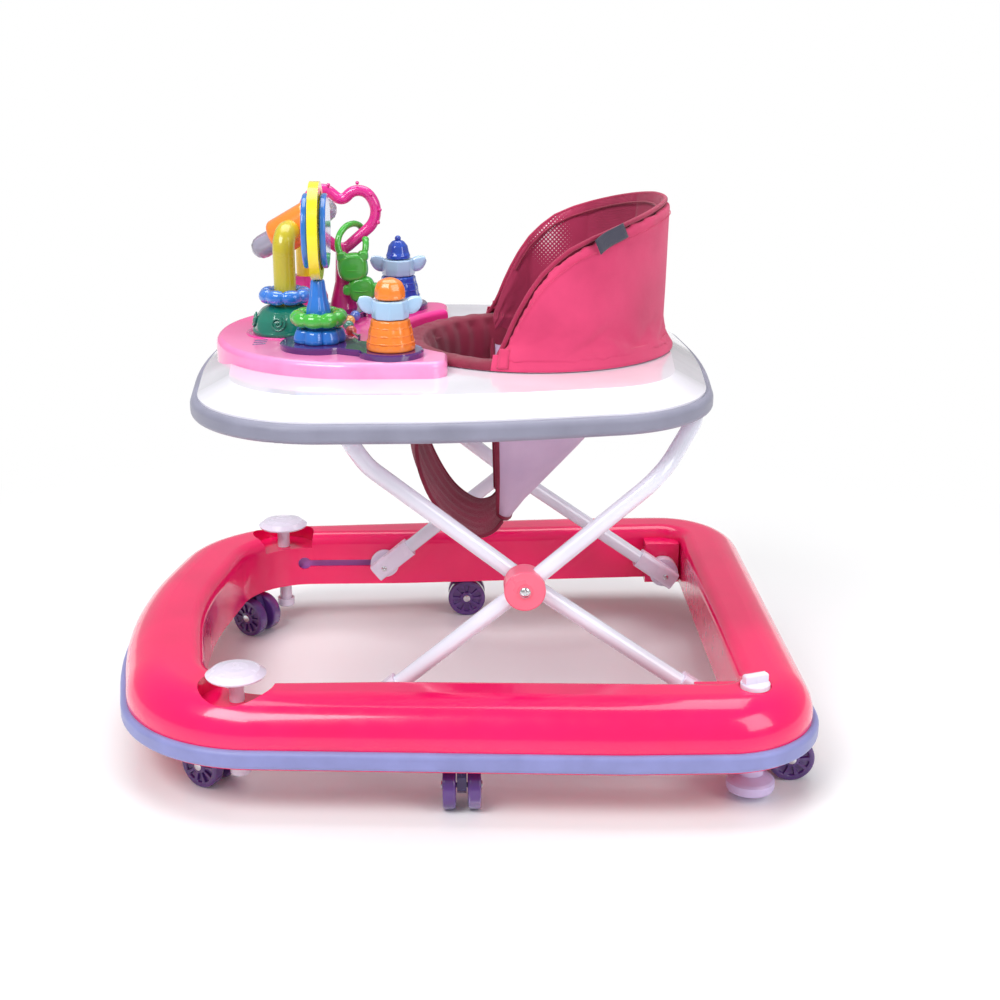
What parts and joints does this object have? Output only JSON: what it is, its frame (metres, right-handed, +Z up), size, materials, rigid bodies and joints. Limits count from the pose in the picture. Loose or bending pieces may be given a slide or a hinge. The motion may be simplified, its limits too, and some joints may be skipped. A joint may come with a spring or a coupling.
{
  "type": "baby walker",
  "caption": "Folding baby walker with a ring base on swivel casters, scissor legs, a toy tray and a padded sling seat.",
  "frame": {"origin": "on the floor, under the middle of the base ring", "axes": "+X towards the back of the walker, +Y towards the child's right as it faces -X, +Z up"},
  "size_m": [0.6966, 0.6, 0.5605],
  "materials": {
    "base_pink": "glossy moulded",
    "bumper_lilac": "soft satin",
    "track_lilac": "satin",
    "steel": "polished",
    "caster_purple": "tinted",
    "white_plastic": "glossy",
    "foot_rubber": "satin",
    "white_tube": "gloss powder coat",
    "hub_coral": "satin",
    "tray_white": "glossy moulded",
    "seat_fabric": "woven",
    "lining_fabric": "woven quilted",
    "tag_fabric": "woven",
    "console_pink": "glossy moulded",
    "plate_purple": "translucent",
    "toy_teal": "glossy",
    "toy_yellow": "glossy",
    "toy_magenta": "glossy",
    "toy_blue": "glossy",
    "toy_orange": "glossy",
    "clear_plastic": "clear",
    "toy_green": "glossy",
    "toy_amber": "translucent",
    "toy_navy": "glossy",
    "toy_pale_blue": "glossy"
  },
  "bodies": {
    "base": {"base_shell": "base_pink", "base_bumper": "bumper_lilac", "caster_sockets": "base_pink", "stopper_guides": "base_pink", "slide_tracks": "track_lilac", "rear_pivot_pins": "steel", "brake_guide": "base_pink"},
    "stopper_left": {"stopper_left": "white_plastic"},
    "stopper_right": {"stopper_right": "white_plastic"},
    "brake_knob": {"brake_knob": "white_plastic"},
    "brake_foot": {"brake_foot": "foot_rubber"},
    "inner_frame": {"inner_leg_tube": "white_tube", "inner_leg_sleeves": "white_plastic", "hub_pins": "steel"},
    "outer_frame": {"outer_leg_tube": "white_tube", "outer_leg_sleeves": "white_plastic", "hub_covers": "hub_coral"},
    "front_sliders": {"front_sliders": "white_plastic"},
    "tray": {"tray_shell": "tray_white", "tray_bumper": "bumper_lilac", "rear_clamps": "white_plastic", "guide_plates": "white_plastic", "toy_console": "console_pink", "toy_plates": "plate_purple", "dome": "toy_teal", "arch_tube": "toy_yellow", "arch_base": "toy_magenta", "flower_post": "toy_blue", "hoop": "toy_yellow", "heart": "toy_magenta", "bead_wire": "steel", "near_figure_body": "toy_orange", "far_figure_body": "toy_navy"},
    "seat": {"seat_ring": "white_plastic", "seat_back": "seat_fabric", "seat_band": "lining_fabric", "seat_sling": "lining_fabric", "seat_tag": "tag_fabric"},
    "arch_ring": {"arch_ring": "toy_blue"},
    "rattle": {"rattle_barrel": "toy_orange", "rattle_capsule": "clear_plastic"},
    "green_ring": {"green_ring": "toy_green"},
    "spinner": {"spinner": "toy_blue"},
    "frog": {"frog": "toy_green"},
    "beads": {"beads": "toy_amber"},
    "near_collar": {"near_figure_collar": "toy_pale_blue"},
    "far_collar": {"far_figure_collar": "toy_pale_blue"},
    "caster_front_left": {"caster_front_left_housing": "caster_purple"},
    "wheels_front_left": {"caster_front_left_wheels": "caster_purple"},
    "caster_front_right": {"caster_front_right_housing": "caster_purple"},
    "wheels_front_right": {"caster_front_right_wheels": "caster_purple"},
    "caster_mid_left": {"caster_mid_left_housing": "caster_purple"},
    "wheels_mid_left": {"caster_mid_left_wheels": "caster_purple"},
    "caster_mid_right": {"caster_mid_right_housing": "caster_purple"},
    "wheels_mid_right": {"caster_mid_right_wheels": "caster_purple"},
    "caster_rear_left": {"caster_rear_left_housing": "caster_purple"},
    "wheels_rear_left": {"caster_rear_left_wheels": "caster_purple"},
    "caster_rear_right": {"caster_rear_right_housing": "caster_purple"},
    "wheels_rear_right": {"caster_rear_right_wheels": "caster_purple"}
  },
  "joints": [
    {"name": "frame_fold", "type": "hinge", "parent": "base", "child": "inner_frame", "pos_m": [0.247, 0, 0.0687], "axis": [0, -1, 0], "range_deg": [0, 24]},
    {"name": "hub_fold", "type": "hinge", "parent": "inner_frame", "child": "outer_frame", "pos_m": [0.0634, 0, 0.1976], "axis": [0, -1, 0], "range_deg": [-52.47, 0]},
    {"name": "slider_turn", "type": "hinge", "parent": "outer_frame", "child": "front_sliders", "pos_m": [-0.086, 0, 0.0765], "axis": [0, -1, 0], "range_deg": [0, 28.47]},
    {"name": "tray_level", "type": "hinge", "parent": "outer_frame", "child": "tray", "pos_m": [0.228, 0, 0.345], "axis": [0, -1, 0], "range_deg": [0, 28.47]},
    {"name": "seat_swivel", "type": "hinge", "parent": "tray", "child": "seat", "pos_m": [0.083, 0, 0.388], "axis": [0, 0, 1], "continuous": true},
    {"name": "swivel_front_left", "type": "hinge", "parent": "base", "child": "caster_front_left", "pos_m": [-0.246, -0.19, 0.05], "axis": [0, 0, 1], "continuous": true},
    {"name": "roll_front_left", "type": "hinge", "parent": "caster_front_left", "child": "wheels_front_left", "pos_m": [-0.23863, -0.19516, 0.0225], "axis": [0.5736, 0.8192, 0], "continuous": true},
    {"name": "swivel_front_right", "type": "hinge", "parent": "base", "child": "caster_front_right", "pos_m": [-0.246, 0.19, 0.05], "axis": [0, 0, 1], "continuous": true},
    {"name": "roll_front_right", "type": "hinge", "parent": "caster_front_right", "child": "wheels_front_right", "pos_m": [-0.23863, 0.18484, 0.0225], "axis": [0.5736, 0.8192, 0], "continuous": true},
    {"name": "swivel_mid_left", "type": "hinge", "parent": "base", "child": "caster_mid_left", "pos_m": [0.003, -0.246, 0.05], "axis": [0, 0, 1], "continuous": true},
    {"name": "roll_mid_left", "type": "hinge", "parent": "caster_mid_left", "child": "wheels_mid_left", "pos_m": [0.003, -0.255, 0.0225], "axis": [1, 0, 0], "continuous": true},
    {"name": "swivel_mid_right", "type": "hinge", "parent": "base", "child": "caster_mid_right", "pos_m": [0.003, 0.246, 0.05], "axis": [0, 0, 1], "continuous": true},
    {"name": "roll_mid_right", "type": "hinge", "parent": "caster_mid_right", "child": "wheels_mid_right", "pos_m": [0.012, 0.246, 0.0225], "axis": [0, 1, 0], "continuous": true},
    {"name": "swivel_rear_left", "type": "hinge", "parent": "base", "child": "caster_rear_left", "pos_m": [0.313, -0.195, 0.05], "axis": [0, 0, 1], "continuous": true},
    {"name": "roll_rear_left", "type": "hinge", "parent": "caster_rear_left", "child": "wheels_rear_left", "pos_m": [0.322, -0.195, 0.0225], "axis": [0, 1, 0], "continuous": true},
    {"name": "swivel_rear_right", "type": "hinge", "parent": "base", "child": "caster_rear_right", "pos_m": [0.313, 0.195, 0.05], "axis": [0, 0, 1], "continuous": true},
    {"name": "roll_rear_right", "type": "hinge", "parent": "caster_rear_right", "child": "wheels_rear_right", "pos_m": [0.32186, 0.19656, 0.0225], "axis": [-0.1736, 0.9848, 0], "continuous": true},
    {"name": "stopper_left_push", "type": "slide", "parent": "base", "child": "stopper_left", "axis": [0, 0, 1], "range_m": [-0.02, 0]},
    {"name": "stopper_right_push", "type": "slide", "parent": "base", "child": "stopper_right", "axis": [0, 0, 1], "range_m": [-0.02, 0]},
    {"name": "brake_twist", "type": "hinge", "parent": "base", "child": "brake_knob", "pos_m": [0.277, -0.24, 0.112], "axis": [0, 0, 1], "range_deg": [0, 90]},
    {"name": "brake_foot_drop", "type": "slide", "parent": "base", "child": "brake_foot", "axis": [0, 0, 1], "range_m": [-0.0076, 0]},
    {"name": "arch_ring_spin", "type": "hinge", "parent": "tray", "child": "arch_ring", "pos_m": [-0.169, -0.008, 0.4405], "axis": [0, 0, 1], "continuous": true},
    {"name": "rattle_spin", "type": "hinge", "parent": "tray", "child": "rattle", "pos_m": [-0.1618, 0.03136, 0.501], "axis": [0.1799, 0.9837, 0], "continuous": true},
    {"name": "green_ring_spin", "type": "hinge", "parent": "tray", "child": "green_ring", "pos_m": [-0.13, -0.082, 0.432], "axis": [0, 0, 1], "continuous": true},
    {"name": "spinner_spin", "type": "hinge", "parent": "tray", "child": "spinner", "pos_m": [-0.13, -0.082, 0.5145], "axis": [1, 0, 0], "continuous": true},
    {"name": "frog_swing", "type": "hinge", "parent": "tray", "child": "frog", "pos_m": [-0.098, 0.0935, 0.4853], "axis": [0.7568, 0, 0.6536], "range_deg": [-25, 0]},
    {"name": "beads_slide", "type": "hinge", "parent": "tray", "child": "beads", "pos_m": [0.062, 0, 0.41], "axis": [0, 0, 1], "range_deg": [-2, 2]},
    {"name": "near_collar_turn", "type": "hinge", "parent": "tray", "child": "near_collar", "pos_m": [-0.06, -0.12, 0.447], "axis": [0, 0, 1], "continuous": true},
    {"name": "far_collar_turn", "type": "hinge", "parent": "tray", "child": "far_collar", "pos_m": [-0.06, 0.12, 0.447], "axis": [0, 0, 1], "continuous": true}
  ],
  "couplings": [
    {"joint": "hub_fold", "follows": "frame_fold", "ratio": -2.186},
    {"joint": "slider_turn", "follows": "frame_fold", "ratio": 1.186},
    {"joint": "tray_level", "follows": "frame_fold", "ratio": 1.186},
    {"joint": "brake_foot_drop", "follows": "brake_twist", "m_per_rad": -0.0047746}
  ]
}
